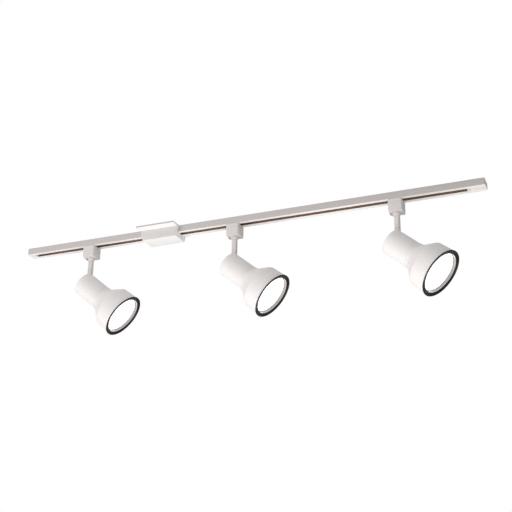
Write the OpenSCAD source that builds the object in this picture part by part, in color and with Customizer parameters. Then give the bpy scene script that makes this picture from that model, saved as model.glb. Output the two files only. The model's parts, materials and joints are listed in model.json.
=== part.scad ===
// Ceiling track light: one straight single-circuit track, a feed canopy that
// covers the ceiling box, and three lamp heads that slide, turn and tilt.
// Millimetres. +X runs along the track, +Z points up to the ceiling, and the
// origin is the middle of the track's back face, which lies on the ceiling.

/* [Track] */
// Length of the track with its end cap
track_len = 1219.2; // [1180:0.1:1400]
// Width of the track across its back
track_w = 35; // [34:0.5:36]
// Depth of the track below the ceiling
track_h = 17; // [17:0.5:19]
// Width of the open slot along the underside
slot_w = 15; // [14.6:0.1:15.4]
// Distance between the two ceiling screws
ceiling_screw_spacing = 1016; // [960:1:1040]
// Radius of each ceiling screw hole
screw_hole_r = 2.4; // [2:0.1:3]

/* [Feed canopy] */
// Middle of the canopy along the track
canopy_x = -205.5; // [-215:0.5:-200]
// Length of the canopy along the track
canopy_len = 106; // [100:1:112]
// Width of the canopy across its two wings
canopy_w = 100; // [90:1:110]
// Depth of the canopy's middle box below the ceiling
canopy_h = 30.6; // [27:0.1:34]
// Width of the canopy's middle box along its lower edges
canopy_box_w = 48; // [44:1:50]
// Distance between the two screws into the ceiling box
box_screw_spacing = 88.9; // [88.9:0.1:89]

/* [Adapters] */
// Place of each head along the track
head_x = [-418, -6, 403.5]; // [-425:0.5:410]
// Length of an adapter along the track
adapter_len = 33; // [30:1:36]
// Lowest face of an adapter below the ceiling
adapter_bottom = 47; // [45:1:50]
// Depth of the adapter's underside wall
adapter_floor = 4; // [3:0.5:5]

/* [Stem] */
// Side of the square stem
stem_side = 12; // [11:0.5:12.5]
// Tilt pivot below the ceiling
pivot_drop = 108; // [106:1:125]
// Radius of the swivel knuckle at the stem's foot
knuckle_r = 13; // [12:0.5:13]
// Radius of the bore for the wires
wire_bore_r = 3.2; // [2.5:0.1:3.5]

/* [Lamp head] */
// Turn of each head about its stem, 0 aims along the track
head_pan = [10, 2.4, -9]; // [-175:0.1:175]
// Tilt of each head below level
head_tilt = [39.7, 39.4, 40.8]; // [0:0.1:90]
// Height of the tilt pivot above the head's centre line
axis_drop = 15.5; // [15:0.5:16]
// Radius of the barrel
barrel_r = 31; // [30.5:0.5:32]
// Back of the barrel behind the tilt pivot
barrel_back = 7.4; // [6:0.2:8]
// Front end of the barrel, in front of the tilt pivot
neck_x = 67.6; // [66:0.2:70]
// Wall of the barrel and the shade
sheet = 1.2; // [1:0.1:1.4]
// Angle at which the shade flares out from the barrel
flare_angle = 37; // [35:0.5:39]
// Radius of the shade at its shoulder
shoulder_r = 55.4; // [54.5:0.1:56]
// Radius of the shade at its mouth
mouth_r = 57.4; // [57:0.1:57.6]
// Front plane of the black rim
rim_x = 143.6; // [142:0.2:146]
// Outer radius of the black rim
rim_r = 58.4; // [57.5:0.1:59]
// Radius of the opening in the baffle
aperture_r = 47; // [45:0.5:47]

/* [Lamp] */
// Radius of the reflector lamp
lamp_r = 47.5; // [46:0.1:47.5]
// Front of the lamp's domed face
lamp_face_x = 139; // [138:0.2:139.4]
// Radius of the lamp's screw base
base_r = 13; // [12.9:0.05:13.1]

/* [Hidden] */
TRACK_NODES = ["track_back", "track_near_rail", "track_far_rail", "near_liner", "far_liner",
    "conductors", "end_cap", "end_insert", "insert_screw", "feed_canopy", "feed_connector",
    "feed_contacts", "terminal_screws", "canopy_clips", "ground_screw"];
HEAD_NODES = ["adapter", "contact_blades", "lock_tab", "stem", "swivel_nut", "stem_leads",
    "pivot_bracket", "pivot_pin", "barrel", "shade", "baffle", "lampholder",
    "screw_shell", "lamp_glass", "lamp_base"];

$fn = 64;
white = [0.90, 0.89, 0.88];
off_white = [0.86, 0.85, 0.84];
copper = [0.62, 0.42, 0.30];
brass = [0.80, 0.66, 0.36];
steel = [0.70, 0.70, 0.72];
green = [0.2, 0.5, 0.25];
liner_brown = [0.25, 0.22, 0.2];
porcelain = [0.92, 0.9, 0.86];
frosted = [0.97, 0.97, 0.95];
black = [0.06, 0.06, 0.06];

gap = 0.3;              // between parts that slide or turn past each other
running = 0.06;         // radial clearance of the turning fits
clear_edge = 1;         // how far a cut runs past the surface it opens

wall = 1.6;             // wall of the track extrusion
cap_flange = 2.4;       // end cap's flange, counted in the track's length
cap_plug = 15;          // how far the end cap's plug reaches into the slot
left_end = -track_len / 2 + cap_flange;
right_end = track_len / 2;
inner_y = track_w / 2 - wall;
lip_top = -track_h + wall;
liner_y = 9.5;          // inner face of each liner
strip_t = 1.2;          // thickness of each copper conductor
far_strip = [-13.8, -8];  // lowest and highest edge of the far conductor
near_strip = [-8.4, -3.4];  // the near one sits higher, so a head fits one way round
strip_inset = [20, 4];  // how far the conductors stop short of each end
insert_len = 42;
insert_screw_x = 573;
insert_bore_r = 1.6;
insert_recess = [2.6, 3];  // radius and depth of the recess for the screw's head
grip_bar_x = [26, 12];  // each grip bar's distance from the right end
grip_bar_t = 1.2;

canopy_edge = 3.6;      // height of the canopy's outer edge
canopy_root = 5.2;      // height of the wing where it meets the box
canopy_wall = 1.8;
canopy_draft = 5;       // how far the box's ends lean in at the bottom
canopy_end_wall = 7;    // the leaning ends are thick at the ceiling
canopy_fold = 1.5;      // flat at the fold between each wing and the box
canopy_lean = 3;        // how far each long side leans out towards the ceiling
canopy_corner = 2;      // chamfer along the box's lower edges
wing_hollow_y = 39;     // middle of the hollow under each wing
wing_hollow_w = 18;
entry_r = 11.1;         // supply wires come in through this hole
connector_half = 30;    // half the length of the feed connector
connector_z = [-16, -5];
terminal_x = 18;        // each terminal's distance from the canopy's middle
terminal_hole = [2.2, 10.4];
contact_len = 12;
clip_x = 30;            // each pair of clips' distance from the canopy's middle
clip_half = 6;
clip_t = 0.8;
clip_z = [-15, -2];
ground_x = 38;          // ground screw's distance from the canopy's middle

adapter_corner = 2.4;
adapter_step = 1.2;     // height of the step round the adapter's lowest face
foot_half = 9.5;        // half the length of the foot that fills the slot's mouth
lug_half = 7;           // half the length of the lugs above the lips
lug_h = 3;
post_y = 5.5;           // half the width of the post that carries the contacts
pocket = [11, 13, 3];   // half length, half width and roof of the adapter's pocket
blade_t = 1.4;
blade_half = 4;
far_blade_z = -11.4;
near_blade_z = -6.6;
tab_t = 2.6;            // thickness of the lock tab
tab_w = 12;             // width of the lock tab
tab_top = -track_h + 3.6;
tab_grip = 3;           // how far the tab's grip shows below the adapter
rib_r = 0.45;
rib_pitch = 1.4;

spigot_r = 5;
spigot_h = 12;
collar_r = 8.6;
collar_h = 5.5;
stem_corner = 2.2;
nut_r = 8.6;
nut_h = 4.6;
lead_r = 1.1;
lead_len = 64;
pin_r = 2;
pin_head = [3.6, 1.2];  // radius and thickness of the pin's formed ends
ear_t = 1.5;
ear_y = stem_side / 2 + 0.4;
ear_r = 6;
holder_plate_x = knuckle_r + 0.6;
holder_r = 18.5;
holder_x = holder_plate_x + ear_t;
holder_len = 28;
holder_floor = 4;
socket_r = 14.2;        // bore of the lampholder
screw_shell_len = 20;
screw_shell_wall = 0.55;
shell_x = holder_x + holder_floor + 1.5;
seat_gap = 0.05;        // between the barrel and the shade pressed over it
seat_len = 5;           // overlap of the shade on the barrel
flare_x = neck_x - 1.6;  // where the shade starts to flare
flare_bend = 16;        // radius of the curve into the flare
shoulder_bend = 8;      // radius of the shade's rounded shoulder
skirt_angle = 3.4;      // slope of the skirt in front of the shoulder
rim_depth = 2;          // width of the black rim's outer edge
lip_r = 55;             // inner radius of the black rim's rounded lip
throat_r = 48.6;        // radius of the short throat round the lamp
dish_depth = 1.7;       // the throat starts this far behind the rim's front
throat_depth = 5;       // and ends at the opening, this far behind it
baffle_wall = 1.2;
lamp_tip_x = holder_x + holder_floor + 0.4;
glass_x = 47;           // back edge of the lamp's glass
glass_wall = 1.5;
dome_h = 4.6;           // height of the lamp's domed face
lamp_edge_bend = 12;    // radius of the lamp's rounded edge
thread_pitch = 3.6;
thread_h = 0.9;
barrel_edge = 1.5;      // rounding of the barrel's back edge
barrel_slot_z = -11.8;  // lowest edge of the slot for the knuckle
slot_cut = 0.8;         // screwdriver slot of the slotted screws
slot_depth = 0.7;

// A centred rectangle with round corners, drawn from exact arcs.
module round_rect(w, d, r) {
    square([w - 2 * r, d], center = true);
    square([w, d - 2 * r], center = true);
    for (sx = [-1, 1], sy = [-1, 1])
        translate([sx * (w / 2 - r), sy * (d / 2 - r)]) circle(r);
}

// Sweeps a section drawn in Y (across) and Z (up) along X.
module along_x(x0, x1) {
    translate([x0, 0, 0]) rotate([90, 0, 90]) linear_extrude(x1 - x0) children();
}

// A box between two corners.
module block(low, high) {
    translate(low) cube(high - low);
}

// Puts what is drawn on the +Y side on the side given by its sign.
module on_side(side) {
    mirror([0, side < 0 ? 1 : 0, 0]) children();
}

// A round bar or hole along X, about the head's centre line.
module axial(r, x0, x1) {
    translate([x0, 0, -axis_drop]) rotate([0, 90, 0]) cylinder(r = r, h = x1 - x0);
}

// A solid of revolution about the head's centre line, from points [x, r].
module turned(points) {
    translate([0, 0, -axis_drop]) rotate([0, 90, 0])
        rotate_extrude() polygon([for (p = points) [p[1], p[0]]]);
}

// Points on an arc about [x, r], from one angle to another.
function arc(x, r, radius, from, to, steps) =
    [for (i = [0:steps])
        let (a = from + (to - from) * i / steps) [x + radius * cos(a), r + radius * sin(a)]];

function reversed(points) = [for (i = [len(points) - 1:-1:0]) points[i]];

// Places a part at its head's stem, turned with the head.
module at_stem(i) {
    translate([head_x[i], 0, -pivot_drop]) rotate([0, 0, head_pan[i]]) children();
}

// Places a part in its lamp head: +X is the aim, and the tilt pivot is the origin.
module at_head(i) {
    at_stem(i) rotate([0, head_tilt[i], 0]) children();
}

// ---- track ----

// The extruded channel is one profile in three bodies: its back, and a rail on each side.
module web_hole(x, r) {
    translate([x, 0, -wall - clear_edge]) cylinder(r = r, h = wall + 2 * clear_edge);
}

module track_back() color(white) difference() {
    block([left_end, -inner_y, -wall], [right_end, inner_y, 0]);
    for (side = [-1, 1]) {
        web_hole(side * ceiling_screw_spacing / 2, screw_hole_r);
        web_hole(canopy_x + side * box_screw_spacing / 2, screw_hole_r);
    }
    web_hole(canopy_x, entry_r);
    web_hole(insert_screw_x, insert_bore_r);
}

// A side wall with the lip that carries the adapters.
module rail(side) {
    on_side(side) {
        block([left_end, inner_y, -track_h], [right_end, track_w / 2, 0]);
        block([left_end, slot_w / 2, -track_h], [right_end, inner_y, lip_top]);
    }
}

module track_near_rail() color(white) rail(-1);
module track_far_rail() color(white) rail(1);

// One insulating liner, with the pocket for its conductor.
module liner(side, strip) {
    on_side(side) difference() {
        block([left_end, liner_y, lip_top], [right_end, inner_y, -wall]);
        block([left_end - clear_edge, liner_y - clear_edge, strip[0]],
            [right_end + clear_edge, liner_y + strip_t, strip[1]]);
    }
}

module near_liner() color(liner_brown) liner(-1, near_strip);
module far_liner() color(liner_brown) liner(1, far_strip);

module conductor(side, strip) {
    on_side(side) block([left_end + strip_inset[0], liner_y, strip[0]],
        [right_end - strip_inset[1], liner_y + strip_t, strip[1]]);
}

// The two copper strips, one pressed into each liner.
module conductors() color(copper) {
    conductor(-1, near_strip);
    conductor(1, far_strip);
}

// Fills the slot's mouth and the room above its lips, from one place to another.
module slot_filler(x0, x1, top) {
    block([x0, -liner_y + gap, lip_top + gap], [x1, liner_y - gap, top]);
    block([x0, -slot_w / 2 + gap, -track_h], [x1, slot_w / 2 - gap, lip_top + gap]);
}

// Closes the left end: an outer flange, and a plug between the liners.
module end_cap() color(off_white) union() {
    along_x(-track_len / 2, left_end) translate([0, -track_h / 2]) round_rect(track_w, track_h, 1);
    slot_filler(left_end, left_end + cap_plug, -wall - gap);
}

// Closes the right end of the slot, flush with the lips, with a recess for its screw.
module end_insert() color(off_white) difference() {
    union() {
        slot_filler(right_end - insert_len, right_end, -wall);
        for (x = grip_bar_x)
            along_x(right_end - x, right_end - x + grip_bar_t)
                translate([0, -track_h + 0.2]) round_rect(slot_w - 4, 1, 0.4);
    }
    translate([insert_screw_x, 0, -track_h - clear_edge])
        cylinder(r = insert_recess[0], h = insert_recess[1] + clear_edge);
    translate([insert_screw_x, 0, -track_h]) cylinder(r = insert_bore_r, h = track_h);
}

// A slotted screw: head downwards at z 0, then the shank. Sizes are [radius, height].
module slotted_screw(head, shank) {
    difference() {
        union() {
            cylinder(r = head[0], h = head[1]);
            cylinder(r = shank[0], h = shank[1]);
        }
        translate([-head[0] - clear_edge, -slot_cut / 2, -clear_edge])
            cube([2 * (head[0] + clear_edge), slot_cut, clear_edge + slot_depth]);
    }
}

module insert_screw() color(steel)
    translate([insert_screw_x, 0, -track_h + 1.2]) slotted_screw([2.4, 1.8], [1.5, track_h - 1.6]);

// ---- feed canopy over the ceiling box ----

// The canopy's section: two thin wings against the ceiling and a deeper box between them.
module canopy_outline() {
    half_box = canopy_box_w / 2;
    half_top = half_box + canopy_lean;
    side = [[canopy_w / 2, 0], [canopy_w / 2, -canopy_edge], [half_top + canopy_fold, -canopy_root],
        [half_top, -canopy_root - canopy_fold], [half_box, -canopy_h + canopy_corner],
        [half_box - canopy_corner, -canopy_h]];
    polygon(concat(side, reversed([for (p = side) [-p[0], p[1]]])));
}

module canopy_ends_lean() {
    half = canopy_len / 2;
    translate([0, canopy_w, 0]) rotate([90, 0, 0]) linear_extrude(2 * canopy_w)
        polygon([[-half, 0], [-half, -canopy_root], [-half + canopy_draft, -canopy_h],
            [half - canopy_draft, -canopy_h], [half, -canopy_root], [half, 0]]);
}

module feed_canopy() color(white) translate([canopy_x, 0, 0]) difference() {
    half = canopy_len / 2;
    inner_box = canopy_box_w / 2 - canopy_wall;
    intersection() {
        along_x(-half, half) canopy_outline();
        canopy_ends_lean();
    }
    block([-half - clear_edge, -track_w / 2 - gap, -track_h - gap],
        [half + clear_edge, track_w / 2 + gap, clear_edge]);
    block([-half + canopy_end_wall, -inner_box, -canopy_h + canopy_wall],
        [half - canopy_end_wall, inner_box, clear_edge]);
    for (side = [-1, 1])
        block([-half + canopy_wall, side * wing_hollow_y - wing_hollow_w / 2, -canopy_edge + canopy_wall],
            [half - canopy_wall, side * wing_hollow_y + wing_hollow_w / 2, clear_edge]);
}

// The live feed: a moulded block in the slot with two terminals.
module feed_connector() color(black) difference() {
    block([canopy_x - connector_half, -slot_w / 2 + gap, connector_z[0]],
        [canopy_x + connector_half, slot_w / 2 - gap, connector_z[1]]);
    for (side = [-1, 1])
        translate([canopy_x + side * terminal_x, 0, -track_h])
            cylinder(r = terminal_hole[0], h = terminal_hole[1]);
}

// Two sprung contacts from the connector, one to each conductor.
module feed_contacts() color(brass) {
    near_y = slot_w / 2 - gap;
    half = contact_len / 2;
    block([canopy_x - terminal_x - half, near_y, -12], [canopy_x - terminal_x + half, liner_y, -9.5]);
    block([canopy_x + terminal_x - half, -liner_y, -7.4], [canopy_x + terminal_x + half, -near_y, -5.4]);
}

module terminal_screws() color(steel) for (side = [-1, 1])
    translate([canopy_x + side * terminal_x, 0, connector_z[0]]) slotted_screw([2.1, 2], [1.4, 8.4]);

// Spring clips that hold the canopy to the track's sides.
module canopy_clips() color(steel) for (x = [canopy_x - clip_x, canopy_x + clip_x], side = [-1, 1])
    on_side(side) {
        block([x - clip_half, track_w / 2, clip_z[0]], [x + clip_half, track_w / 2 + clip_t, clip_z[1]]);
        block([x - clip_half, track_w / 2 + clip_t, clip_z[0]],
            [x + clip_half, canopy_box_w / 2 - canopy_wall, clip_z[0] + clip_t]);
    }

module ground_screw() color(green)
    translate([canopy_x + ground_x, 0, -wall - 2.2]) slotted_screw([3, 2.2], [1.6, 2.2]);

// ---- adapters ----

// Hollow body under the track, the foot in the slot's mouth, lugs above the lips, and a post.
module adapter(i) color(off_white) translate([head_x[i], 0, 0]) difference() {
    top = -track_h - gap;
    lug_top = lip_top + lug_h;
    step_in = 2 * adapter_step;
    union() {
        translate([0, 0, -adapter_bottom + adapter_step])
            linear_extrude(top + adapter_bottom - adapter_step)
                round_rect(adapter_len, track_w, adapter_corner);
        translate([0, 0, -adapter_bottom]) linear_extrude(adapter_step)
            round_rect(adapter_len - step_in, track_w - step_in, adapter_corner);
        block([-foot_half, -slot_w / 2 + 2 * gap, top], [foot_half, slot_w / 2 - 2 * gap, lip_top + gap]);
        block([-lug_half, -liner_y + 2 * gap, lip_top + gap], [lug_half, liner_y - 2 * gap, lug_top]);
        block([-lug_half, -post_y, lug_top], [lug_half, post_y, -wall - 1.4]);
    }
    block([-pocket[0], -pocket[1], -adapter_bottom + adapter_floor],
        [pocket[0], pocket[1], top - pocket[2]]);
    translate([0, 0, -adapter_bottom - clear_edge]) cylinder(r = spigot_r + running, h = spigot_h);
    translate([0, 0, -adapter_bottom + adapter_floor])
        cylinder(r = wire_bore_r, h = adapter_bottom - track_h - gap);
    block([-adapter_len / 2 - clear_edge, -tab_w / 2 - gap, -adapter_bottom - clear_edge],
        [-adapter_len / 2 + tab_t + 2 * gap, tab_w / 2 + gap, top + clear_edge]);
}

// Two sprung contacts, one at the height of each conductor.
module contact_blades(i) color(brass) translate([head_x[i], 0, 0]) {
    block([-blade_half, post_y, far_blade_z], [blade_half, liner_y - gap, far_blade_z + blade_t]);
    block([-blade_half, -liner_y + gap, near_blade_z], [blade_half, -post_y, near_blade_z + blade_t]);
}

// Tab that keeps the adapter from turning out of the slot, with a ribbed grip below.
module lock_tab(i) color(off_white) translate([head_x[i] - adapter_len / 2 + gap, 0, 0]) union() {
    block([0, -tab_w / 2, -adapter_bottom - tab_grip], [tab_t, tab_w / 2, tab_top]);
    for (k = [0, 1])
        translate([0, 0, -adapter_bottom - 0.8 - rib_pitch * k]) rotate([90, 0, 0])
            cylinder(r = rib_r, h = tab_w - 2, center = true);
}

// ---- stem ----

// Square stem with a spigot and collar at its top and the swivel knuckle at its foot.
module stem(i) color(off_white) at_stem(i) difference() {
    collar_top = pivot_drop - adapter_bottom - gap;
    union() {
        translate([0, 0, collar_top - collar_h]) cylinder(r = spigot_r, h = collar_h + spigot_h);
        translate([0, 0, collar_top - collar_h]) cylinder(r = collar_r, h = collar_h);
        linear_extrude(collar_top - 2) round_rect(stem_side, stem_side, stem_corner);
        rotate([90, 0, 0]) cylinder(r = knuckle_r, h = stem_side, center = true);
    }
    translate([0, 0, pin_r + 3]) cylinder(r = wire_bore_r, h = pivot_drop);
    rotate([90, 0, 0]) cylinder(r = pin_r + running, h = stem_side + 2, center = true);
}

// Nut that keeps the stem's spigot in the adapter.
module swivel_nut(i) color(steel) at_stem(i)
    translate([0, 0, pivot_drop - adapter_bottom + adapter_floor + gap]) difference() {
        rotate([0, 0, 30]) cylinder(r = nut_r, h = nut_h, $fn = 6);
        translate([0, 0, -clear_edge]) cylinder(r = spigot_r, h = nut_h + 2 * clear_edge);
    }

// Supply leads down the stem's bore.
module stem_leads(i) at_stem(i) for (side = [-1, 1])
    color(side < 0 ? black : white) translate([side * (lead_r + gap), 0, pin_r + 6])
        cylinder(r = lead_r, h = lead_len);

// ---- lamp head ----

// Two ears for the tilt pin and a round plate that carries the lampholder.
module pivot_bracket(i) color(steel) at_head(i) difference() {
    back = -barrel_back + sheet;
    union() {
        for (side = [-1, 1]) on_side(side) {
            translate([0, ear_y + ear_t, 0]) rotate([90, 0, 0]) cylinder(r = ear_r, h = ear_t);
            block([back, ear_y, -ear_r], [holder_plate_x, ear_y + ear_t, 2.5]);
            block([back, ear_y, -ear_r], [back + ear_t, ear_y + 8, 2.5]);
        }
        axial(holder_r + 1.5, holder_plate_x, holder_x);
    }
    rotate([90, 0, 0]) cylinder(r = pin_r + running, h = 4 * stem_side, center = true);
    axial(5, holder_plate_x - clear_edge, holder_x + clear_edge);
}

module pivot_pin(i) color(steel) at_head(i) rotate([90, 0, 0]) union() {
    reach = ear_y + ear_t;
    cylinder(r = pin_r, h = 2 * reach, center = true);
    for (side = [-1, 1])
        translate([0, 0, side * (reach + pin_head[1] / 2)])
            cylinder(r = pin_head[0], h = pin_head[1], center = true);
}

// Drawn barrel with a flat back and a slot for the swivel knuckle.
module barrel(i) color(white) at_head(i) difference() {
    side_gap = stem_side / 2 + 0.7;
    turned(concat([[-barrel_back, 0]],
        arc(barrel_edge - barrel_back, barrel_r - barrel_edge, barrel_edge, 180, 90, 4),
        [[neck_x, barrel_r], [neck_x, barrel_r - sheet], [-barrel_back + sheet, barrel_r - sheet],
            [-barrel_back + sheet, 0]]));
    block([-barrel_back - 5, -side_gap, barrel_slot_z],
        [stem_side / 2 + 1, side_gap, barrel_r + clear_edge]);
}

// Spun shade: a seat round the barrel's end, a curve into a straight flare, a rounded
// shoulder, then a long skirt.
function shade_outline(inset) =
    let (seat_r = barrel_r + seat_gap + sheet,
        flare_start = [flare_x + flare_bend * sin(flare_angle),
            seat_r + flare_bend * (1 - cos(flare_angle))],
        bend_r = shoulder_r - shoulder_bend,
        flare_end_r = bend_r + shoulder_bend * cos(flare_angle),
        bend_x = flare_start[0] + (flare_end_r - flare_start[1]) / tan(flare_angle)
            + shoulder_bend * sin(flare_angle))
    concat([[neck_x - seat_len, seat_r - inset]],
        arc(flare_x, seat_r + flare_bend, flare_bend + inset, -90, flare_angle - 90, 6),
        arc(bend_x, bend_r, shoulder_bend - inset, 90 + flare_angle, 90 + skirt_angle, 6),
        [[rim_x - rim_depth, mouth_r - inset]]);

module shade(i) color(white) at_head(i)
    turned(concat(shade_outline(0), reversed(shade_outline(sheet))));

// Black ring that closes the shade's mouth: a rounded lip, a dished face, a short throat
// round the lamp, and a skirt that snaps into the shade.
module baffle(i) color(black) at_head(i) turned(concat(
    [[rim_x - rim_depth, rim_r - 0.6], [rim_x - rim_depth + 0.6, rim_r], [rim_x - 1, rim_r]],
    arc(rim_x - 1, rim_r - 1, 1, 60, 0, 2),
    [[rim_x, lip_r + 1], [rim_x - 0.8, lip_r], [rim_x - dish_depth, throat_r],
        [rim_x - throat_depth, throat_r - 0.2], [rim_x - throat_depth, aperture_r],
        [rim_x - throat_depth - baffle_wall, aperture_r],
        [rim_x - throat_depth - baffle_wall, throat_r + baffle_wall],
        [rim_x - dish_depth - baffle_wall, throat_r + baffle_wall],
        [rim_x - rim_depth - 0.3, lip_r - 1], [rim_x - 16, mouth_r - sheet - 3],
        [rim_x - 16, mouth_r - sheet - 1.8], [rim_x - rim_depth, mouth_r - sheet - 0.2]]));

// ---- lamp and its holder ----

module lampholder(i) color(porcelain) at_head(i) difference() {
    axial(holder_r, holder_x, holder_x + holder_len);
    axial(socket_r, holder_x + holder_floor, holder_x + holder_len + clear_edge);
    for (side = [-1, 1])
        translate([0, side * 9, 0]) axial(1.3, holder_x - clear_edge, holder_x + holder_floor + clear_edge);
}

module screw_shell(i) color(brass) at_head(i) difference() {
    outer_r = socket_r - seat_gap;
    axial(outer_r, shell_x, shell_x + screw_shell_len);
    axial(outer_r - screw_shell_wall, shell_x - clear_edge, shell_x + screw_shell_len + clear_edge);
}

// Screw base of the lamp, with rounded threads and a centre contact.
module lamp_base(i) color(steel) at_head(i) turned(concat(
    [[lamp_tip_x, 0], [lamp_tip_x, 4], [lamp_tip_x + 2.5, 7], [lamp_tip_x + 3.5, base_r - 1.2]],
    [for (k = [0:4], s = [0:2])
        [lamp_tip_x + 4 + (k + s / 3) * thread_pitch, base_r - (s == 1 ? 0 : thread_h)]],
    [[glass_x - 3, base_r - thread_h], [glass_x, base_r + 0.6], [glass_x, 0]]));

// Envelope of the reflector lamp, open at the neck where the base closes it.
function lamp_outline(inset) = concat(
    [[glass_x, base_r + 1.6 - inset], [glass_x + 8, 17 - inset], [glass_x + 18, 23.5 - inset]],
    arc(lamp_face_x - 17, lamp_r - lamp_edge_bend, lamp_edge_bend - inset, 140, 20, 10),
    [for (k = [1:6])
        let (share = 1 - k / 6)
            [lamp_face_x - inset - dome_h * share * share, (lamp_r - 3) * share]]);

module lamp_glass(i) color(frosted) at_head(i)
    turned(concat(lamp_outline(0), reversed(lamp_outline(glass_wall))));

track_back();
track_near_rail();
track_far_rail();
near_liner();
far_liner();
conductors();
end_cap();
end_insert();
insert_screw();
feed_canopy();
feed_connector();
feed_contacts();
terminal_screws();
canopy_clips();
ground_screw();
for (i = [0:2]) {
    adapter(i);
    contact_blades(i);
    lock_tab(i);
    stem(i);
    swivel_nut(i);
    stem_leads(i);
    pivot_bracket(i);
    pivot_pin(i);
    barrel(i);
    shade(i);
    baffle(i);
    lampholder(i);
    screw_shell(i);
    lamp_base(i);
    lamp_glass(i);
}
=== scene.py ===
import json
import math

import bmesh
import bpy
from mathutils import Matrix, Vector


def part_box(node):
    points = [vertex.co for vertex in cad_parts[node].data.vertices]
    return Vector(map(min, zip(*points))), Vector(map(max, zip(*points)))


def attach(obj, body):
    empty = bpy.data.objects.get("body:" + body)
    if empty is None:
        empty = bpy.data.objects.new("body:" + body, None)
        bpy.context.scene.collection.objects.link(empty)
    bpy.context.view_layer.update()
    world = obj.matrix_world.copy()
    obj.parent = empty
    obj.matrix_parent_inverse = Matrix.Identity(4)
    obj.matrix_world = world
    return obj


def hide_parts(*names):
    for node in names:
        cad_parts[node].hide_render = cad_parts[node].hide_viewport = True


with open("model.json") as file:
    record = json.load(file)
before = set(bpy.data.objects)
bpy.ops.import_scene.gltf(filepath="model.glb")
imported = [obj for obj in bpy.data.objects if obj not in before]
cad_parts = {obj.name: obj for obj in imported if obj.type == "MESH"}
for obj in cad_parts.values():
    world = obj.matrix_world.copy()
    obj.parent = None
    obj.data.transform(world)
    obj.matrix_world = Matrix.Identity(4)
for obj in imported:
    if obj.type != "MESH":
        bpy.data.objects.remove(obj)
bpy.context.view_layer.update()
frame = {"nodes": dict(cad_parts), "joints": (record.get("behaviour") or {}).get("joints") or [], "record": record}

MM = 0.001
HEADS = (1, 2, 3)
SHEET = 1.2 * MM           # wall of the barrel, the shade and the baffle
TRACK_WALL = 1.6 * MM
TRACK_FLUSH = -17 * MM     # underside of the track below the ceiling
LIP_TOP = -15.1 * MM       # where the slot's mouth opens into the room above its lips
WIRE_BORE_R = 3.2 * MM     # bore for a head's wires
NODES = frame["nodes"]
JOINTS = {joint["name"]: joint for joint in frame["joints"]}
TRACK_SHELL = [name for name in NODES if name.startswith("track_")]
CONDUCTORS = [name for name in NODES if "conductor" in name]


# ---- measuring the frame ----

def corners(points):
    low = Vector([min(p[axis] for p in points) for axis in range(3)])
    high = Vector([max(p[axis] for p in points) for axis in range(3)])
    return low, high


def track_box():
    """Lowest and highest corner of the extruded channel."""
    return corners([corner for name in TRACK_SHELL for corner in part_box(name)])


def spans(node, to_own_axes):
    """Lowest and highest corner of a CAD node in the axes of the place it is made at."""
    return corners([to_own_axes @ vertex.co for vertex in NODES[node].data.vertices])


def stem_place(number):
    """Turns and moves a part made about the tilt pivot, +X level under the aim, to its stem."""
    tilt = JOINTS[f"head_{number}_tilt"]
    across = Vector(tilt["axis"])
    level = Vector((across.y, -across.x, 0))
    place = Matrix((level, across, (0, 0, 1))).transposed().to_4x4()
    place.translation = tilt["pos_m"]
    return place


def lamp_place(number):
    """Turns and moves a part made about the head's centre line, +Z along the aim, to its head."""
    tilt = JOINTS[f"head_{number}_tilt"]
    angle = math.radians(-tilt["range_deg"][0])
    across = Vector(tilt["axis"])
    level = Vector((across.y, -across.x, 0))
    up = Vector((0, 0, 1))
    aim = level * math.cos(angle) - up * math.sin(angle)
    above = level * math.sin(angle) + up * math.cos(angle)
    place = Matrix((above, -across, aim)).transposed().to_4x4()
    place.translation = tilt["pos_m"]
    low, high = spans(f"baffle_{number}", place.inverted())
    place.translation += above * (low.x + high.x) / 2
    return place


def adapter_place(number):
    """Moves a part made about the stem's axis at ceiling height to its adapter."""
    x = JOINTS[f"head_{number}_turn"]["pos_m"][0]
    return Matrix.Translation((x, 0, 0))


# ---- modelling ----

def deselect():
    bpy.ops.object.select_all(action="DESELECT")


def activate(piece):
    deselect()
    piece.select_set(True)
    bpy.context.view_layer.objects.active = piece


def edit(piece, what="SELECT"):
    activate(piece)
    bpy.ops.object.mode_set(mode="EDIT")
    bpy.ops.mesh.select_all(action=what)


def done():
    bpy.ops.object.mode_set(mode="OBJECT")


def settle(piece):
    """Applies where a new primitive was put, so that its place is in its mesh."""
    activate(piece)
    bpy.ops.object.transform_apply(location=True, rotation=True, scale=True)


def face_outwards(piece):
    edit(piece)
    bpy.ops.mesh.remove_doubles(threshold=0.002 * MM)
    bpy.ops.mesh.normals_make_consistent(inside=False)
    done()


def apply_modifiers(piece):
    activate(piece)
    for modifier in list(piece.modifiers):
        bpy.ops.object.modifier_apply(modifier=modifier.name)


def soften(piece, width, segments=3, angle=32):
    """Rounds every edge sharper than the angle."""
    bevel = piece.modifiers.new("rounded_edges", "BEVEL")
    bevel.width = width
    bevel.segments = segments
    bevel.limit_method = "ANGLE"
    bevel.angle_limit = math.radians(angle)
    bevel.use_clamp_overlap = True
    apply_modifiers(piece)
    activate(piece)
    bpy.ops.object.shade_smooth_by_angle(angle=math.radians(40))
    return piece


def block(name, low, high):
    """A box between two corners, to be cut and rounded."""
    deselect()
    low, high = Vector(low), Vector(high)
    bpy.ops.mesh.primitive_cube_add(size=1, location=(low + high) / 2)
    piece = bpy.context.object
    piece.name = name
    piece.scale = high - low
    settle(piece)
    return piece


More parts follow.
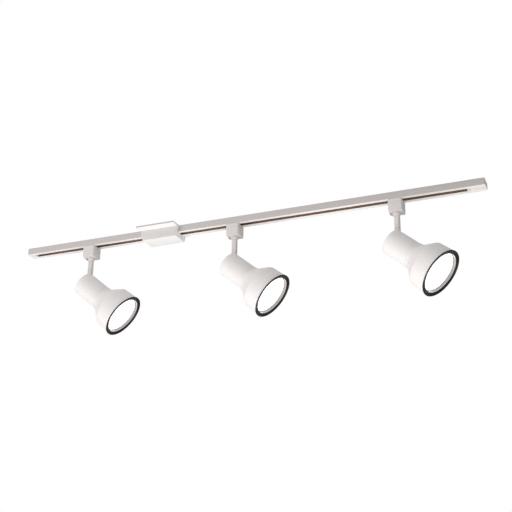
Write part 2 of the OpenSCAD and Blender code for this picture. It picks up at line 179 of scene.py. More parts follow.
def rounded_block(name, low, high, radius, upright=True):
    """A box whose upright edges are rounded first, as on a moulding."""
    piece = block(name, low, high)
    edit(piece, "DESELECT")
    mesh = bmesh.from_edit_mesh(piece.data)
    for edge in mesh.edges:
        along = (edge.verts[1].co - edge.verts[0].co).normalized()
        edge.select_set(abs(along.z) > 0.9 if upright else abs(along.x) > 0.9)
    bmesh.update_edit_mesh(piece.data)
    bpy.ops.mesh.bevel(offset=radius, segments=6, affect="EDGES")
    done()
    return piece


def turned(name, outline, sides=96):
    """A turned part: a ring pulled along +Z through (z, radius) points. An outline that ends
    where it starts is closed into a loop; any other is capped at both ends."""
    deselect()
    height, radius = outline[0]
    bpy.ops.mesh.primitive_circle_add(vertices=sides, radius=radius, location=(0, 0, height))
    piece = bpy.context.object
    piece.name = name
    settle(piece)
    edit(piece)
    loop = outline[0] == outline[-1]
    if not loop:
        bpy.ops.mesh.edge_face_add()
        bpy.ops.mesh.select_all(action="SELECT")
    bpy.ops.mesh.select_mode(type="EDGE")
    for (z0, r0), (z1, r1) in zip(outline, outline[1:]):
        bpy.ops.mesh.extrude_edges_move(TRANSFORM_OT_translate={"value": (0, 0, z1 - z0)})
        bpy.ops.transform.resize(value=(r1 / r0, r1 / r0, 1), center_override=(0, 0, z1))
    if not loop:
        bpy.ops.mesh.edge_face_add()
    done()
    face_outwards(piece)
    return piece


def rod(name, radius, start, end, sides=48):
    """A plain round bar between two points, used to build up or cut a larger part."""
    deselect()
    middle = (Vector(start) + Vector(end)) / 2
    along = Vector(end) - Vector(start)
    bpy.ops.mesh.primitive_cylinder_add(
        vertices=sides, radius=radius, depth=along.length, location=middle)
    piece = bpy.context.object
    piece.name = name
    piece.rotation_mode = "QUATERNION"
    piece.rotation_quaternion = along.to_track_quat("Z", "Y")
    settle(piece)
    return piece


def combine(piece, tool, how):
    """Adds a tool shape to a piece or cuts it away, and discards the tool."""
    boolean = piece.modifiers.new(how.lower(), "BOOLEAN")
    boolean.operation = how
    boolean.solver = "EXACT"
    boolean.object = tool
    apply_modifiers(piece)
    bpy.data.objects.remove(tool)
    return piece


def cut(piece, tool):
    return combine(piece, tool, "DIFFERENCE")


def weld(piece, tool):
    return combine(piece, tool, "UNION")


def rounded_step(z, r, radius, start, turn, steps=6):
    """Points round a corner: about (z, r), from one angle through a turn, in degrees."""
    angles = [math.radians(start + turn * k / steps) for k in range(steps + 1)]
    return [(z + radius * math.cos(a), r + radius * math.sin(a)) for a in angles]


def keep_own_axes(piece):
    """Remembers where each point was made, so that a finish can follow the part to its place."""
    made_at = piece.data.attributes.new("made_at", "FLOAT_VECTOR", "POINT")
    for vertex, item in zip(piece.data.vertices, made_at.data):
        item.vector = vertex.co


def finish_piece(piece, material, body, slot, *nodes):
    """Gives a placed piece its finish and body, and hides the CAD nodes it stands for."""
    piece.data.materials.clear()
    piece.data.materials.append(material)
    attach(piece, body)
    if nodes:
        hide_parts(*nodes)


def one_per_head(pattern, part, place_of, material, body, slot):
    """Copies a part modelled once to each head, each with its own mesh."""
    keep_own_axes(pattern)
    for number in HEADS:
        piece = pattern.copy()
        piece.data = pattern.data.copy()
        piece.name = f"{part}_on_head_{number}"
        bpy.context.collection.objects.link(piece)
        piece.matrix_world = place_of(number)
        settle(piece)
        finish_piece(piece, material, f"head_{number}_{body}", slot, f"{part}_{number}")
    bpy.data.objects.remove(pattern)


# ---- finishes ----

# The colour sockets of a mix node, which has a set for each kind of value.
COLOUR_A, COLOUR_B, COLOUR_OUT = 6, 7, 2


class Finish:
    """A material under construction: a shader, its coordinates, and small helpers."""

    def __init__(self, name, colour, roughness, metallic=0.0, own_axes=False):
        self.material = bpy.data.materials.new(name)
        self.material.use_nodes = True
        self.tree = self.material.node_tree
        self.shader = self.tree.nodes["Principled BSDF"]
        self.shader.inputs["Base Color"].default_value = (*colour, 1)
        self.shader.inputs["Roughness"].default_value = roughness
        self.shader.inputs["Metallic"].default_value = metallic
        self.colour = colour
        if own_axes:
            source = self.tree.nodes.new("ShaderNodeAttribute")
            source.attribute_name = "made_at"
            self.coordinates = source.outputs["Vector"]
        else:
            source = self.tree.nodes.new("ShaderNodeTexCoord")
            self.coordinates = source.outputs["Object"]

    def stretched(self, stretch):
        mapping = self.tree.nodes.new("ShaderNodeMapping")
        mapping.inputs["Scale"].default_value = stretch
        self.tree.links.new(self.coordinates, mapping.inputs["Vector"])
        return mapping.outputs["Vector"]

    def noise(self, scale, detail=3.0, stretch=(1, 1, 1)):
        """A noise whose scale is in features a metre."""
        texture = self.tree.nodes.new("ShaderNodeTexNoise")
        texture.inputs["Scale"].default_value = scale
        texture.inputs["Detail"].default_value = detail
        self.tree.links.new(self.stretched(stretch), texture.inputs["Vector"])
        return texture.outputs["Fac"]

    def coordinate(self, axis):
        """Where a point lies along one axis."""
        parts = self.tree.nodes.new("ShaderNodeSeparateXYZ")
        self.tree.links.new(self.coordinates, parts.inputs["Vector"])
        return parts.outputs[axis]

    def worked_out(self, operation, *values):
        """One step of arithmetic on sockets' values."""
        step = self.tree.nodes.new("ShaderNodeMath")
        step.operation = operation
        for value, socket in zip(values, step.inputs):
            self.tree.links.new(value, socket)
        return step.outputs["Value"]

    def distance_from_middle(self):
        """How far a point lies to either side of the track's middle."""
        return self.worked_out("ABSOLUTE", self.coordinate("Y"))

    def distance_from_axis(self):
        """How far a point of a turned part lies from the axis it was made about."""
        flat = self.stretched((1, 1, 0))
        length = self.tree.nodes.new("ShaderNodeVectorMath")
        length.operation = "LENGTH"
        self.tree.links.new(flat, length.inputs[0])
        return length.outputs["Value"]

    def spread(self, value, low, high, start=0.3, end=0.7):
        """Maps a value between two limits onto a range."""
        mapped = self.tree.nodes.new("ShaderNodeMapRange")
        mapped.inputs["From Min"].default_value = start
        mapped.inputs["From Max"].default_value = end
        mapped.inputs["To Min"].default_value = low
        mapped.inputs["To Max"].default_value = high
        self.tree.links.new(value, mapped.inputs["Value"])
        return mapped.outputs["Result"]

    def band(self, value, low, high, blur):
        """1 where a value is between two limits and 0 outside them."""
        above = self.spread(value, 0, 1, low, low + blur)
        below = self.spread(value, 1, 0, high - blur, high)
        return self.worked_out("MULTIPLY", above, below)

    def tint(self, value, other, start=0.35, end=0.65):
        """Blends the colour so far towards another one where a value is high."""
        mix = self.tree.nodes.new("ShaderNodeMix")
        mix.data_type = "RGBA"
        base = self.shader.inputs["Base Color"]
        if base.is_linked:
            self.tree.links.new(base.links[0].from_socket, mix.inputs[COLOUR_A])
        else:
            mix.inputs[COLOUR_A].default_value = (*self.colour, 1)
        mix.inputs[COLOUR_B].default_value = (*other, 1)
        self.tree.links.new(self.spread(value, 0, 1, start, end), mix.inputs["Factor"])
        self.tree.links.new(mix.outputs[COLOUR_OUT], base)

    def roughen(self, value, low, high):
        self.tree.links.new(self.spread(value, low, high), self.shader.inputs["Roughness"])

    def bump(self, value, height, strength=1.0):
        """Raises the surface by a noise, with its height in metres."""
        bump = self.tree.nodes.new("ShaderNodeBump")
        bump.inputs["Strength"].default_value = strength
        bump.inputs["Distance"].default_value = height
        self.tree.links.new(value, bump.inputs["Height"])
        self.tree.links.new(bump.outputs["Normal"], self.shader.inputs["Normal"])


def enamel(name, colour):
    """Baked white enamel: a faint orange-peel skin with a matte, slightly uneven sheen."""
    finish = Finish(name, colour, 0.6, own_axes=True)
    finish.tint(finish.noise(22, 4), tuple(c * 0.97 for c in colour))
    finish.roughen(finish.noise(60, 3), 0.52, 0.66)
    finish.bump(finish.noise(900, 2), 0.05 * MM, 0.3)
    return finish.material


def canopy_enamel(name, colour, painted_shade_colour, painted_edge_shade_colour):
    """White enamel with painted shade: the box's long sides and the wings' thin edges are tinted greyer to stand
    for shade.
    """
    finish = Finish(name, colour, 0.6)
    distance = finish.distance_from_middle()
    shaded_box_sides = (23.8 * MM, 28.2 * MM)
    shaded_wing_edges = (49.3 * MM, 49.7 * MM)
    blur = 0.4 * MM
    finish.tint(finish.noise(22, 4), tuple(c * 0.98 for c in colour))
    # Painted shade: the box's long sides are tinted grey, as if turned away from the light.
    finish.tint(finish.band(distance, *shaded_box_sides, blur), painted_shade_colour, 0, 1)
    # Painted shade: the wings' thin outer edges are tinted a darker grey.
    finish.tint(distance, painted_edge_shade_colour, *shaded_wing_edges)
    finish.roughen(finish.noise(60, 3), 0.52, 0.66)
    finish.bump(finish.noise(900, 2), 0.05 * MM, 0.3)
    return finish.material


def extruded_enamel(name, lip_colour, painted_shade_colour):
    """Powder coat on an extrusion: fine draw lines along the track, white lips, and painted shade on the sides,
    which are tinted greyer.
    """
    finish = Finish(name, lip_colour, 0.5)
    shaded_side_faces = (17.0 * MM, 17.4 * MM)
    # Painted shade: the side faces are tinted grey, as if turned away from the light.
    finish.tint(finish.distance_from_middle(), painted_shade_colour, *shaded_side_faces)
    finish.roughen(finish.noise(500, 2, (0.01, 1, 1)), 0.42, 0.56)
    finish.bump(finish.noise(1400, 2, (0.02, 1, 1)), 0.03 * MM, 0.4)
    return finish.material


def moulded(name, colour, roughness, own_axes=False):
    """Injection-moulded plastic with a fine spark-eroded grain."""
    finish = Finish(name, colour, roughness, own_axes=own_axes)
    finish.tint(finish.noise(35, 4), tuple(c * 0.955 for c in colour))
    finish.roughen(finish.noise(110, 3), roughness - 0.06, roughness + 0.08)
    finish.bump(finish.noise(2600, 2), 0.05 * MM, 0.4)
    return finish.material


def semi_gloss_black(name, inner_r, back_z):
    """Black enamel with a fine skin, a glossier throat inside a radius with a painted grey sheen,
    and a white back."""
    finish = Finish(name, (0.009, 0.009, 0.011), 0.24, own_axes=True)
    painted_sheen_grey, back_white = (0.18, 0.15, 0.145), (0.86, 0.85, 0.83)
    distance = finish.distance_from_axis()
    inside = (inner_r, inner_r + 0.3 * MM)
    shine = finish.spread(distance, 1.0, 0.2, *inside)
    coat = finish.spread(distance, 1.0, 0.0, *inside)
    finish.tree.links.new(shine, finish.shader.inputs["Specular IOR Level"])
    finish.tree.links.new(coat, finish.shader.inputs["Coat Weight"])
    finish.shader.inputs["Coat Roughness"].default_value = 0.12
    finish.roughen(finish.noise(80, 3), 0.2, 0.3)
    finish.bump(finish.noise(1500, 2), 0.02 * MM, 0.2)
    # Painted sheen: the throat is tinted grey for the lamp's light reflected in it. Its gloss and coat are real.
    finish.tint(distance, painted_sheen_grey, inside[1], inside[0])
    finish.tint(finish.coordinate("Z"), back_white, back_z + 0.2 * MM, back_z)
    return finish.material


def frosted_lamp(name, glow):
    """Inside-frosted lamp glass: a faint mottle over a milky glow."""
    finish = Finish(name, (0.93, 0.93, 0.91), 0.32, own_axes=True)
    finish.tint(finish.noise(90, 4), (0.88, 0.88, 0.87))
    finish.bump(finish.noise(1800, 3), 0.05 * MM, 0.3)
    finish.shader.inputs["Emission Color"].default_value = (1.0, 0.985, 0.96, 1)
    finish.shader.inputs["Emission Strength"].default_value = glow
    return finish.material


def metal(name, colour, roughness, stretch=(1, 1, 1), darker=0.8):
    """Bare metal with a drawn or plated grain and a little tarnish."""
    finish = Finish(name, colour, roughness, metallic=1.0)
    finish.tint(finish.noise(70, 5), tuple(c * darker for c in colour))
    finish.roughen(finish.noise(600, 3, stretch), roughness - 0.08, roughness + 0.12)
    finish.bump(finish.noise(1600, 2, stretch), 0.02 * MM, 0.4)
    return finish.material


WHITE_HEAD = enamel("head_enamel", (0.86, 0.82, 0.80))
STEM_WHITE = enamel("stem_enamel", (0.80, 0.745, 0.72))
# The second and third colours are painted shade, for the box's sides and the wings' edges.
CANOPY_WHITE = canopy_enamel(
    "canopy_enamel", (0.85, 0.83, 0.815), (0.71, 0.68, 0.66), (0.55, 0.52, 0.51))
# Its second colour, on the side faces, is painted shade.
TRACK_WHITE = extruded_enamel("track_powder_coat", (0.88, 0.85, 0.83), (0.56, 0.52, 0.51))
ADAPTER_WHITE = moulded("adapter_plastic", (0.74, 0.695, 0.685), 0.5, own_axes=True)
END_WHITE = moulded("end_plastic", (0.80, 0.78, 0.765), 0.45)
LAMP_FACE = frosted_lamp("frosted_glass", glow=1.6)
COPPER = metal("conductor_copper", (0.58, 0.36, 0.26), 0.42, (0.02, 1, 1), 0.8)
BRASS = metal("contact_brass", (0.78, 0.62, 0.32), 0.3)
STEEL = metal("zinc_plate", (0.62, 0.62, 0.63), 0.35)
LAMP_METAL = metal("lamp_base_metal", (0.72, 0.72, 0.73), 0.3)
LINER_BROWN = moulded("liner_pvc", (0.26, 0.18, 0.145), 0.5)
BLACK_PLASTIC = moulded("feed_plastic", (0.03, 0.03, 0.03), 0.5)
PORCELAIN = moulded("porcelain", (0.86, 0.84, 0.8), 0.18)
GROUND_GREEN = moulded("ground_screw_green", (0.05, 0.2, 0.08), 0.4)
LEAD_GREY = moulded("lead_insulation", (0.55, 0.54, 0.52), 0.5)


# ---- lamp heads ----

def lamp_span(part):
    """Lowest and highest corner of a head's part in the head's own axes."""
    return spans(f"{part}_1", lamp_place(1).inverted())


def make_barrels():
    """Drawn barrel with a flat back, a rounded back edge and the slot for the swivel knuckle."""
    low, high = lamp_span("barrel")
    radius, back, front = high.x, low.z, high.z
    corner = 2.2 * MM
    hub_r = 2 * MM
    rear_ring, front_ring = back + 12 * MM, front - 20 * MM
    outline = [(back, hub_r)]
    outline += rounded_step(back + corner, radius - corner, corner, 180, -90)
    outline += [(rear_ring, radius), (front_ring, radius), (front, radius)]
    outline += [(front, radius - SHEET), (back + SHEET, radius - SHEET), (back + SHEET, hub_r)]
    barrel = turned("barrel_pattern", outline)
    half_slot, slot_depth, slot_front = 6.7 * MM, 11.8 * MM, 7 * MM
    slot_corner = 1.2 * MM
    past = 9 * MM
    pivot_height = (lamp_place(1).inverted() @ Vector(JOINTS["head_1_tilt"]["pos_m"])).x
    slot = rounded_block("slot", (pivot_height - slot_depth, -half_slot, back - past),
                         (radius + past, half_slot, slot_front), slot_corner, upright=False)
    cut(barrel, slot)
    soften(barrel, 0.25 * MM, segments=2, angle=50)
    one_per_head(barrel, "barrel", lamp_place, WHITE_HEAD, "lamp", "head_paint")


def shade_shell(inset, back, front, mouth_r):
    """The shade's outline: seat, curve into a straight flare, rounded shoulder, long skirt."""
    barrel_r, barrel_front = lamp_span("barrel")[1].x, lamp_span("barrel")[1].z
    seat_r = barrel_r + 0.05 * MM + SHEET
    flare_z = barrel_front - 1.6 * MM
    flare_bend, shoulder_bend = 16 * MM, 8 * MM
    shoulder_r = mouth_r - 2 * MM
    flare, skirt = 37, 3.4      # degrees from the centre line
    skirt_ring, skirt_lean = front - 12 * MM, 0.7 * MM
    lean = math.radians(flare)
    bend_r = shoulder_r - shoulder_bend
    rise = bend_r + shoulder_bend * math.cos(lean) - seat_r - flare_bend * (1 - math.cos(lean))
    bend_z = flare_z + (flare_bend + shoulder_bend) * math.sin(lean) + rise / math.tan(lean)
    points = [(back, seat_r - inset)]
    points += rounded_step(flare_z, seat_r + flare_bend, flare_bend + inset, -90, flare, 10)
    points += rounded_step(bend_z, bend_r, shoulder_bend - inset, 90 + flare, skirt - flare, 12)
    return points + [(skirt_ring, mouth_r - skirt_lean - inset), (front, mouth_r - inset)]


def make_shades():
    """Spun shade with a softly rolled hem."""
    low, high = lamp_span("shade")
    outer = shade_shell(0, low.z, high.z, high.x)
    inner = shade_shell(SHEET, low.z, high.z, high.x)
    shade = turned("shade_pattern", outer + inner[::-1] + [outer[0]], sides=144)
    soften(shade, 0.4 * MM, segments=3, angle=50)
    one_per_head(shade, "shade", lamp_place, WHITE_HEAD, "lamp", "head_paint")


def make_baffles():
    """Black ring: a thin rounded lip, a dished face, a short throat round the lamp, and a
    skirt that snaps into the shade."""
    low, high = lamp_span("baffle")
    rim_r, front, back = high.x, high.z, low.z
    mouth_r = lamp_span("shade")[1].x
    hem = lamp_span("shade")[1].z
    skirt_r = mouth_r - SHEET
    lip_r, throat_r, aperture_r = rim_r - 3.4 * MM, rim_r - 9.6 * MM, rim_r - 11.2 * MM
    throat_front, throat_back = front - 2 * MM, front - 8.4 * MM
    outer_round, inner_round = 1.3 * MM, 0.8 * MM
    outline = [(hem, rim_r - 0.5 * MM), (hem + 0.4 * MM, rim_r)]
    outline += rounded_step(front - outer_round, rim_r - outer_round, outer_round, 90, -90, 8)
    outline += rounded_step(front - inner_round, lip_r + inner_round, inner_round, 0, -60, 5)
    outline += [(throat_front, throat_r), (throat_back, throat_r - 0.1 * MM)]
    outline += [(throat_back, aperture_r), (throat_back - SHEET, aperture_r)]
    outline += [(throat_back - SHEET, throat_r + SHEET), (throat_front - SHEET, throat_r + SHEET)]
    outline += [(hem - 0.3 * MM, lip_r - 1 * MM), (back, skirt_r - 3 * MM)]
    outline += [(back, skirt_r - 1.8 * MM), (hem, skirt_r - 0.2 * MM)]
    baffle = turned("baffle_pattern", outline + [outline[0]], sides=144)
    soften(baffle, 0.2 * MM, segments=2, angle=60)
    finish = semi_gloss_black("rim_black", throat_r + 0.3 * MM, throat_back - 0.5 * MM)
    one_per_head(baffle, "baffle", lamp_place, finish, "lamp", "black_paint")


def make_lamps():
    """Reflector lamp: neck, flaring reflector, rolled edge and a domed frosted face."""
    low, high = lamp_span("lamp_glass")
    radius, back, face = high.x, low.z, high.z
    hub_r, neck_r = 2 * MM, 14.4 * MM
    neck_end = (back + 8 * MM, 17 * MM)
    flare_start = (back + 18 * MM, 23.5 * MM)
    bend = 12 * MM
    widest = face - 17 * MM
    outline = [(back, hub_r), (back, neck_r), neck_end, flare_start]
    outline += rounded_step(widest, radius - bend, bend, 140, -120, 12)
    # The face is a shallow dome whose depth grows with the square of the radius.
    edge_z, edge_r = outline[-1]
    rings = 7
    for ring in range(1, rings):
        share = 1 - ring / rings
        outline.append((face - (face - edge_z) * share * share, edge_r * share))
    lamp = turned("lamp_pattern", outline, sides=96)
    soften(lamp, 0.3 * MM, segments=2, angle=60)
    one_per_head(lamp, "lamp_glass", lamp_place, LAMP_FACE, "lamp", "lamp_glass")


# ---- stems and adapters ----

def make_stems():
    """Square stem with a round collar at its top and the swivel knuckle at its foot."""
    low, high = spans("stem_1", stem_place(1).inverted())
    knuckle_r, collar_r, spigot_r, pin_bore_r = -low.z, high.y, 5 * MM, 2.06 * MM
    half, corner = 6 * MM, 2.2 * MM
    spigot_top = high.z
    collar_top = spigot_top - 12 * MM
    collar_foot = collar_top - 5.5 * MM
    edge = 1.2 * MM
    hub_r = 1 * MM
    stem = rounded_block("stem_pattern", (-half, -half, 0),
                         (half, half, collar_top - 2 * MM), corner)
    weld(stem, rod("knuckle", knuckle_r, (0, -half, 0), (0, half, 0), sides=72))
    collar = [(collar_foot, hub_r), (collar_foot, collar_r - edge)]
    collar += rounded_step(collar_foot + edge, collar_r - edge, edge, 180, -90, 4)[1:]
    collar += [(collar_top, collar_r), (collar_top, spigot_r)]
    collar += [(spigot_top, spigot_r), (spigot_top, hub_r)]
    weld(stem, turned("collar", collar, sides=72))
    cut(stem, rod("wire_bore", WIRE_BORE_R, (0, 0, 5 * MM), (0, 0, spigot_top + 2 * MM), sides=32))
    cut(stem, rod("pin_bore", pin_bore_r, (0, -2 * half, 0), (0, 2 * half, 0), sides=32))
    soften(stem, 0.45 * MM, segments=3, angle=40)
    one_per_head(stem, "stem", stem_place, STEM_WHITE, "stem", "stem_paint")


def make_adapters():
    """Moulded adapter: a hollow body under the track, with a foot, lugs and post in its slot."""
    low, high = spans("adapter_1", adapter_place(1).inverted())
    half_x, half_y, bottom = high.x, high.y, low.z
    top = -17.3 * MM
    past = 1 * MM
    tab_way_half, tab_way_depth = 6.3 * MM, 3.2 * MM
    pocket = Vector((11, 13, 0)) * MM
    floor, roof = bottom + 4 * MM, top - 3 * MM
    spigot_bore_r, spigot_bore_top = 5.06 * MM, bottom + 11 * MM
    line_depth, line_half = 0.2 * MM, 0.15 * MM
    seam = top - 6 * MM
    body = rounded_block("adapter_pattern", (-half_x, -half_y, bottom),
                         (half_x, half_y, top), 2.6 * MM)
    soften(body, 1.0 * MM, segments=3, angle=60)
    for name, half_length, half_width, foot, head, corner in (
            ("foot", 9.5 * MM, 6.9 * MM, top - 1 * MM, LIP_TOP, 1 * MM),
            ("lugs", 7 * MM, 8.9 * MM, LIP_TOP - 0.2 * MM, -12.4 * MM, 2 * MM),
            ("post", 7 * MM, 5.5 * MM, -13 * MM, high.z, 1 * MM)):
        weld(body, rounded_block(name, (-half_length, -half_width, foot),
                                 (half_length, half_width, head), corner))
    cut(body, block("tab_way", (-half_x - past, -tab_way_half, bottom - past),
                    (-half_x + tab_way_depth, tab_way_half, past)))
    cut(body, block("pocket", (-pocket.x, -pocket.y, floor), (pocket.x, pocket.y, roof)))
    cut(body, rod("spigot_bore", spigot_bore_r, (0, 0, bottom - past), (0, 0, spigot_bore_top), sides=48))
    cut(body, rod("wire_bore", WIRE_BORE_R, (0, 0, bottom), (0, 0, past), sides=32))
    for side in (-1, 1):
        face = side * half_y
        cut(body, block("parting_line", (-half_x - past, face - line_depth, seam - line_half),
                        (half_x + past, face + line_depth, seam + line_half)))
    soften(body, 0.2 * MM, segments=2, angle=50)
    one_per_head(body, "adapter", adapter_place, ADAPTER_WHITE, "adapter", "adapter_plastic")


def make_lock_tabs():
    """Spring tab that stops the adapter turning out of the slot, with a ribbed grip below."""
    low, high = spans("lock_tab_1", adapter_place(1).inverted())
    rib_r, rib_inset, first_rib, rib_pitch = 0.5 * MM, 1 * MM, 0.9, 1.3
    face = low.x + rib_r
    tab = block("tab_pattern", (face, low.y, low.z), high)
    soften(tab, 0.6 * MM, segments=3, angle=60)
    for rib in range(2):
        height = low.z + (first_rib + rib_pitch * rib) * MM
        start, end = (face, low.y + rib_inset, height), (face, high.y - rib_inset, height)
        weld(tab, rod("rib", rib_r, start, end, sides=16))
    soften(tab, 0.1 * MM, segments=2, angle=50)
    one_per_head(tab, "lock_tab", adapter_place, ADAPTER_WHITE, "tab", "adapter_plastic")


# ---- track ----

def make_track():
    """Extruded channel with an open slot, screw holes and the wire entry."""
    low, high = track_box()
    half_slot = 7.5 * MM
    past = Vector((5 * MM, 0, 0))
    inset = Vector((0, TRACK_WALL, TRACK_WALL))
    track = block("track", low, high)
    cut(track, block("inside", low - past + inset, high + past - inset))
    cut(track, block("slot", (low.x - past.x, -half_slot, low.z - TRACK_WALL),
                     (high.x + past.x, half_slot, low.z + 2 * TRACK_WALL)))
    through = Vector((0, 0, 10 * MM))
    for mount in frame["record"]["mounts"]:
        place, sizes = Vector(mount["pos_m"]), mount["dims"]
        if mount["kind"] == "bolt_pattern":
            hole_r = sizes["hole_r_mm"] * MM
            for side in (-0.5, 0.5):
                hole = place + Vector((side * sizes["spacing_x_mm"] * MM, 0, 0))
                cut(track, rod("screw_hole", hole_r, hole - through, hole + through, sides=32))
        elif mount["name"] == "supply_entry":
            entry_r = sizes["r_mm"] * MM
            cut(track, rod("wire_entry", entry_r, place - through, place + through, sides=48))
    soften(track, 0.45 * MM, segments=3, angle=60)
    finish_piece(track, TRACK_WHITE, "track", "track_paint", *TRACK_SHELL)


def slot_filler(name, x0, x1, top):
    """Fills the slot's mouth and the room above its lips, from one place to another."""
    half_room, half_mouth = 9.2 * MM, 7.2 * MM
    overlap = 1 * MM
    piece = block(name, (x0, -half_room, LIP_TOP), (x1, half_room, top))
    weld(piece, block("tongue", (x0, -half_mouth, TRACK_FLUSH), (x1, half_mouth, LIP_TOP + overlap)))
    return piece


def make_end_cap():
    """Flange over the left end with a plug that reaches between the liners."""
    low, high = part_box("end_cap")
    left_end = track_box()[0].x
    overlap, plug_top = 0.5 * MM, -1.9 * MM
    flange = rounded_block("end_cap_moulding", low, (left_end, high.y, high.z),
                           1.2 * MM, upright=False)
    weld(flange, slot_filler("plug", left_end - overlap, high.x, plug_top))
    soften(flange, 0.5 * MM, segments=3, angle=60)
    finish_piece(flange, END_WHITE, "track", "white_plastic", "end_cap")


def make_end_insert():
    """Moulding that fills the slot at the right end, with a screw recess and raised grip bars."""
    low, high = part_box("end_insert")
    screw_low, screw_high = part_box("insert_screw")
    screw_x = (screw_low.x + screw_high.x) / 2
    first_bar, bar_pitch = 9, 5.5
    bar_half, bar_width, bar_height = 5 * MM, 2 * MM, 0.28 * MM
    recess_r, recess_depth = 2.7 * MM, 3 * MM
    way_r, way_depth = 1.7 * MM, 18 * MM
    insert = slot_filler("end_insert_moulding", low.x, high.x, high.z)
    soften(insert, 0.35 * MM, segments=3, angle=60)
    for bar in range(4):
        x = screw_x + (first_bar + bar_pitch * bar) * MM
        weld(insert, rounded_block("grip_bar", (x, -bar_half, TRACK_FLUSH - bar_height),
                                   (x + bar_width, bar_half, TRACK_FLUSH + 1 * MM), 0.6 * MM))
    foot = Vector((screw_x, 0, TRACK_FLUSH))
    up = Vector((0, 0, 1))
    cut(insert, rod("screw_recess", recess_r, foot - up * MM, foot + up * recess_depth, sides=40))
    cut(insert, rod("screw_way", way_r, foot, foot + up * way_depth, sides=32))
    soften(insert, 0.12 * MM, segments=2, angle=50)
    finish_piece(insert, END_WHITE, "track", "white_plastic", "end_insert")


def select_corners(piece, wanted):
    """Selects the corners of a piece that answer a question, ready to be moved."""
    edit(piece, "DESELECT")
    mesh = bmesh.from_edit_mesh(piece.data)
    for vertex in mesh.verts:
        vertex.select_set(wanted(vertex.co))
    mesh.select_flush(True)
    bmesh.update_edit_mesh(piece.data)


def make_canopy():
    """Pressed canopy: two thin wings on the ceiling and a deeper box between, whose walls lean."""
    low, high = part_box("feed_canopy")
    half_box, half_top = 24 * MM, 27 * MM
    half_track, track_way_foot = 17.8 * MM, -17.3 * MM
    edge, root = 3.6 * MM, 5.2 * MM
    wing_y, half_wing, tuck = 38.5 * MM, 11.5 * MM, 0.1 * MM
    draft = 5 * MM
    wall, end_wall, half_hollow = 1.8 * MM, 7 * MM, 22.2 * MM
    hollow_y, half_wing_hollow = 39 * MM, 9 * MM
    middle = (low.x + high.x) / 2
    above = 10 * MM
    canopy = block("canopy", (low.x, low.y, -edge), (high.x, high.y, 0))
    for side in (-1, 1):
        wing = block("wing_slope", (low.x + tuck, side * wing_y - half_wing, -root),
                     (high.x - tuck, side * wing_y + half_wing, -edge + 0.4 * MM))
        select_corners(wing, lambda at: at.y * side > wing_y and at.z < -edge)
        bpy.ops.transform.translate(value=(0, 0, root - edge))
        done()
        weld(canopy, wing)
    box_part = block("canopy_box", (low.x, -half_top, low.z), (high.x, half_top, -1 * MM))
    select_corners(box_part, lambda at: at.z < low.z / 2)
    shrink = (1 - 2 * draft / (high.x - low.x), half_box / half_top, 1)
    bpy.ops.transform.resize(value=shrink, center_override=(middle, 0, low.z))
    done()
    soften(box_part, 1.6 * MM, segments=4, angle=60)
    weld(canopy, box_part)
    cut(canopy, block("track_way", (low.x - above, -half_track, track_way_foot),
                      (high.x + above, half_track, above)))
    cut(canopy, block("hollow", (low.x + end_wall, -half_hollow, low.z + wall),
                      (high.x - end_wall, half_hollow, above)))
    for side in (-1, 1):
        near, far = side * hollow_y - half_wing_hollow, side * hollow_y + half_wing_hollow
        cut(canopy, block("wing_hollow", (low.x + wall, near, -wall), (high.x - wall, far, above)))
    soften(canopy, 0.35 * MM, segments=3, angle=50)
    finish_piece(canopy, CANOPY_WHITE, "track", "canopy_paint", "feed_canopy")


def finish_carried_nodes():
    """Gives each CAD node that stays its finish."""
    finishes = {
        "near_liner": LINER_BROWN, "far_liner": LINER_BROWN, "insert_screw": STEEL,
        "feed_connector": BLACK_PLASTIC, "feed_contacts": BRASS, "terminal_screws": STEEL,
        "canopy_clips": STEEL, "ground_screw": GROUND_GREEN,
    }
    per_head = {
        "contact_blades": BRASS, "swivel_nut": STEEL, "stem_leads": LEAD_GREY,
        "pivot_bracket": STEEL, "pivot_pin": STEEL, "lampholder": PORCELAIN,
        "screw_shell": BRASS, "lamp_base": LAMP_METAL,
    }
    finishes.update({node: COPPER for node in CONDUCTORS})
    for part, material in per_head.items():
        for number in HEADS:
            finishes[f"{part}_{number}"] = material
    for node, material in finishes.items():
        NODES[node].data.materials.clear()
        NODES[node].data.materials.append(material)


# ---- studio ----

def aimed(direction, roll=0.0):
    """Rotation that looks along a direction, turned by a roll in degrees."""
    turn = Matrix.Rotation(math.radians(roll), 4, "Z").to_quaternion()
    return direction.to_track_quat("-Z", "Y") @ turn


def make_camera():
    """Looks up at the track from its right end's side, a little over two metres away."""
    azimuth, rise = math.radians(23.2), math.radians(20.94)
    level = Vector((-math.sin(azimuth), math.cos(azimuth), 0))
    direction = level * math.cos(rise) + Vector((0, 0, 1)) * math.sin(rise)
    data = bpy.data.cameras.new("camera")
    data.sensor_width = 36
    data.lens = 66.71
    camera = bpy.data.objects.new("camera", data)
    camera.location = (0.8963, -1.9705, -0.9253)
    camera.rotation_mode = "QUATERNION"
    camera.rotation_quaternion = aimed(direction, 0.78)
    bpy.context.collection.objects.link(camera)
    bpy.context.scene.camera = camera


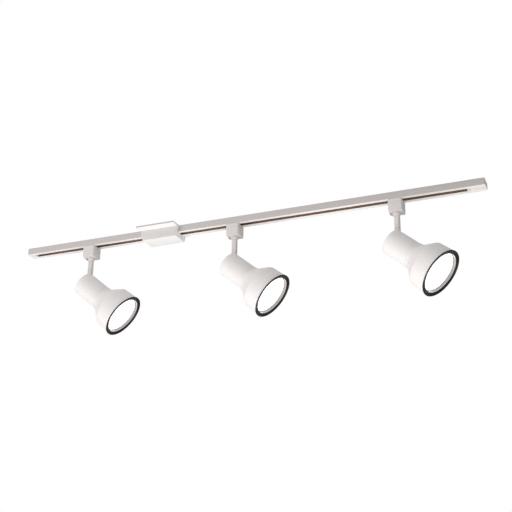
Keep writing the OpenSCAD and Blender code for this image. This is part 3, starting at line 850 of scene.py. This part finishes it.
def area_light(name, place, target, size, power):
    data = bpy.data.lights.new(name, "AREA")
    data.shape = "DISK"
    data.size = size
    data.energy = power
    light = bpy.data.objects.new(name, data)
    light.location = place
    light.rotation_mode = "QUATERNION"
    light.rotation_quaternion = aimed(Vector(target) - Vector(place))
    light.visible_camera = False
    bpy.context.collection.objects.link(light)


def make_studio():
    """A pale floor far below, an even pale surround, and three soft lights."""
    deselect()
    bpy.ops.mesh.primitive_plane_add(size=30, location=(0, 0, -4))
    floor = bpy.context.object
    floor.name = "floor"
    pale = Finish("floor_pale", (0.86, 0.86, 0.86), 0.9)
    pale.tint(pale.noise(2, 3), (0.84, 0.84, 0.84))
    floor.data.materials.append(pale.material)
    world = bpy.data.worlds.new("studio")
    bpy.context.scene.world = world
    world.use_nodes = True
    tree = world.node_tree
    soft = tree.nodes["Background"]
    soft.inputs["Color"].default_value = (1, 1, 1, 1)
    soft.inputs["Strength"].default_value = 0.45
    seen = tree.nodes.new("ShaderNodeBackground")
    seen.inputs["Color"].default_value = (1, 1, 1, 1)
    seen.inputs["Strength"].default_value = 1.0
    path = tree.nodes.new("ShaderNodeLightPath")
    mix = tree.nodes.new("ShaderNodeMixShader")
    tree.links.new(path.outputs["Is Camera Ray"], mix.inputs[0])
    tree.links.new(soft.outputs[0], mix.inputs[1])
    tree.links.new(seen.outputs[0], mix.inputs[2])
    tree.links.new(mix.outputs[0], tree.nodes["World Output"].inputs["Surface"])
    area_light("key_from_below_left", (-1.9, -1.0, -1.5), (-0.1, 0, -0.1), size=2.2, power=26)
    area_light("fill_from_below", (0.4, -0.4, -1.5), (0.1, 0, -0.1), size=2.2, power=21)
    area_light("soft_from_above_left", (-1.2, -1.6, 1.9), (0, 0, -0.1), size=2.4, power=28)
    bpy.context.scene.view_settings.view_transform = "Standard"


make_camera()
make_studio()
make_barrels()
make_shades()
make_baffles()
make_lamps()
make_stems()
make_adapters()
make_lock_tabs()
make_track()
make_end_cap()
make_end_insert()
make_canopy()
finish_carried_nodes()
